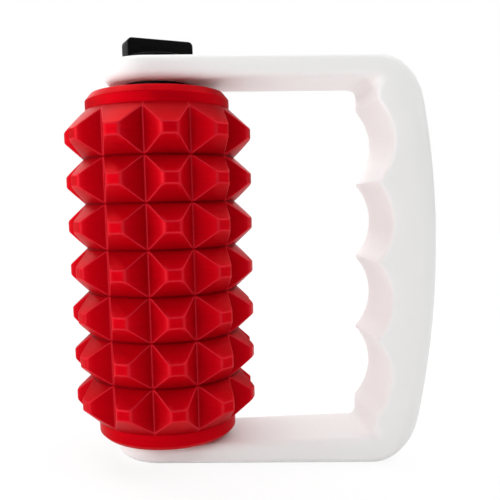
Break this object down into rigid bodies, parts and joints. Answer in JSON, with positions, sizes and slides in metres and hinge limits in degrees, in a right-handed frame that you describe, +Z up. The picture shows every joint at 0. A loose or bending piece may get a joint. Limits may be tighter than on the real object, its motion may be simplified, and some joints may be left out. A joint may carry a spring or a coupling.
{
  "type": "rolling massager",
  "caption": "Hand-held rolling massager: a C-shaped handle with finger grooves carries a freely turning studded roller on a pull-out axle with a knob.",
  "frame": {"origin": "where the roller's axis meets the flat underside of the bottom arm, on which the massager stands", "axes": "+Z up from the base, +X from the roller towards the grip, +Y from the side the picture shows to the far side; the roller's axis leans 2.5 degrees from +Z towards -X"},
  "size_m": [0.1222, 0.0601, 0.1359],
  "materials": {
    "handle_plastic": "satin moulded white",
    "sleeve_rubber": "satin moulded red elastomer",
    "cap_plastic": "satin moulded red",
    "black_plastic": "matt moulded black",
    "knob_plastic": "fine-grained moulded black",
    "ring_rubber": "matt black",
    "washer_plastic": "smooth natural acetal",
    "axle_steel": "ground"
  },
  "bodies": {
    "handle": {"handle_frame": "handle_plastic", "top_arm_bush": "black_plastic", "bottom_arm_socket": "black_plastic", "bottom_thrust_washer": "washer_plastic"},
    "roller": {"roller_sleeve": "sleeve_rubber", "roller_core": "black_plastic", "top_end_cap": "cap_plastic", "bottom_end_cap": "cap_plastic", "top_roller_bush": "black_plastic", "bottom_roller_bush": "black_plastic", "top_thrust_washer": "washer_plastic"},
    "axle_lift": {"knob_washer": "black_plastic"},
    "axle_and_knob": {"axle": "axle_steel", "upper_o_ring": "ring_rubber", "lower_o_ring": "ring_rubber", "knob_screw": "axle_steel", "release_knob": "knob_plastic"}
  },
  "joints": [
    {"name": "roller_spin", "type": "hinge", "parent": "handle", "child": "roller", "pos_m": [-0.00277, 0, 0.06344], "axis": [-0.0436, 0, 0.999], "continuous": true},
    {"name": "axle_pull", "type": "slide", "parent": "handle", "child": "axle_lift", "axis": [-0.0436, 0, 0.999], "range_m": [0, 0.118]},
    {"name": "knob_turn", "type": "hinge", "parent": "axle_lift", "child": "axle_and_knob", "pos_m": [-0.00564, 0, 0.12908], "axis": [-0.0436, 0, 0.999], "continuous": true}
  ]
}
